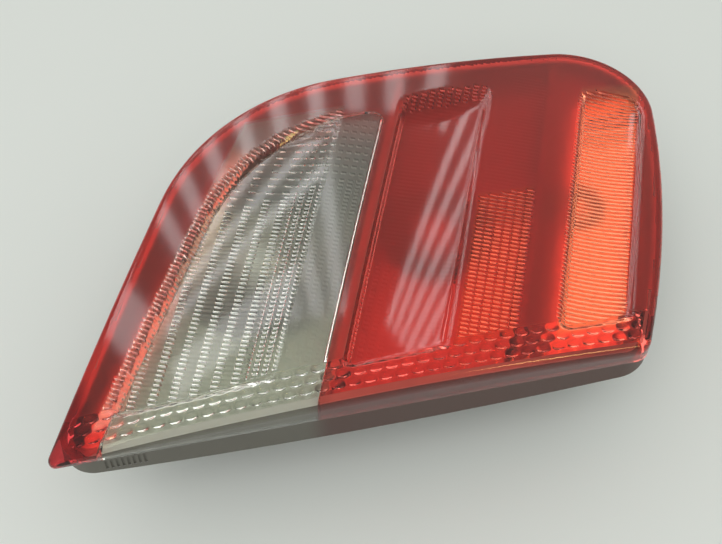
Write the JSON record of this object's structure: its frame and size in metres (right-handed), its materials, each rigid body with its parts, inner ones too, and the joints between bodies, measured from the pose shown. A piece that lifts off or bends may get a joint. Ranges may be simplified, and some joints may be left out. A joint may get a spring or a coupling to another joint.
{
  "type": "tail light cluster",
  "caption": "Boot-lid tail light cluster with a crowned red lens, a clear reversing window, scooped prism optics, reflectors, bulbs on a latched carrier and rear studs.",
  "frame": {"origin": "middle of the four mounting studs, on the plane where the lamp seats on the car body", "axes": "+X along the lamp's straight lower edge, +Y up the lamp, +Z out through the lens; the studs point along -Z"},
  "size_m": [0.2983, 0.1794, 0.0775],
  "materials": {
    "red_acrylic": "clear red, polished",
    "clear_acrylic": "clear, polished",
    "grey_plastic": "moulded grey",
    "bright_reflector": "metal-coated",
    "bulb_glass": "clear",
    "bulb_brass": "bright",
    "carrier_plastic": "moulded black",
    "seal_rubber": "soft",
    "contact_brass": "stamped",
    "gasket_foam": "closed-cell foam",
    "plated_steel": "zinc plated",
    "breather_rubber": "soft"
  },
  "bodies": {
    "root": {"lens_red": "red_acrylic", "lens_clear": "clear_acrylic", "housing": "grey_plastic", "reflector_reverse": "bright_reflector", "reflector_fog": "bright_reflector", "reflector_tail": "bright_reflector", "bulb_reverse_glass": "bulb_glass", "bulb_fog_glass": "bulb_glass", "bulb_tail_glass": "bulb_glass", "bulb_reverse_base": "bulb_brass", "bulb_fog_base": "bulb_brass", "bulb_tail_base": "bulb_brass", "bulb_carrier": "carrier_plastic", "carrier_seal": "seal_rubber", "contact_reverse": "contact_brass", "contact_fog": "contact_brass", "contact_tail": "contact_brass", "contact_earth": "contact_brass", "panel_gasket": "gasket_foam", "mounting_stud_1": "plated_steel", "mounting_stud_2": "plated_steel", "mounting_stud_3": "plated_steel", "mounting_stud_4": "plated_steel", "breather_cap": "breather_rubber"}
  },
  "joints": []
}
